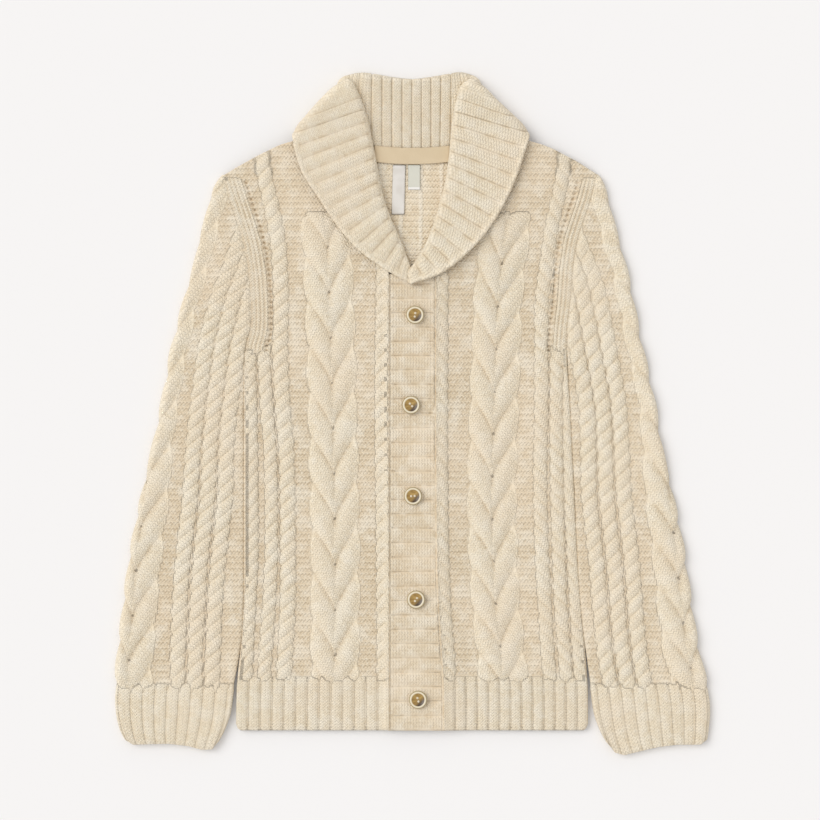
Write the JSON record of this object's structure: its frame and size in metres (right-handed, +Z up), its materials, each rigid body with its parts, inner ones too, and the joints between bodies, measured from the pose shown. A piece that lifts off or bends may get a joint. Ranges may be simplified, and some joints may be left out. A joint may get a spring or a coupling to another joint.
{
  "type": "long-sleeved shawl-collar cable-knit cardigan, laid flat",
  "caption": "Long-sleeved cable-knit wool cardigan with a ribbed shawl collar, buttoned up the front and laid flat on its back, face up.",
  "frame": {"origin": "centre of the garment's box, on the surface that it lies on", "axes": "+X to the wearer's left, +Y from hem to neck, +Z up from the surface through the front"},
  "size_m": [0.624, 0.7154, 0.0204],
  "materials": {
    "wool": "thick cable-knit wool, matt",
    "horn": "polished horn, brown with a pale rim",
    "tape": "beige twill tape",
    "label": "bare white satin",
    "size_label": "bare grey-green satin"
  },
  "bodies": {
    "root": {"back_panel": "wool", "right_front": "wool", "left_front": "wool", "under_band": "wool", "top_band": "wool", "right_sleeve": "wool", "left_sleeve": "wool", "collar": "wool", "button_1": "horn", "button_2": "horn", "button_3": "horn", "button_4": "horn", "button_5": "horn", "neck_tape": "tape", "main_label": "label", "size_label": "size_label"}
  },
  "joints": []
}
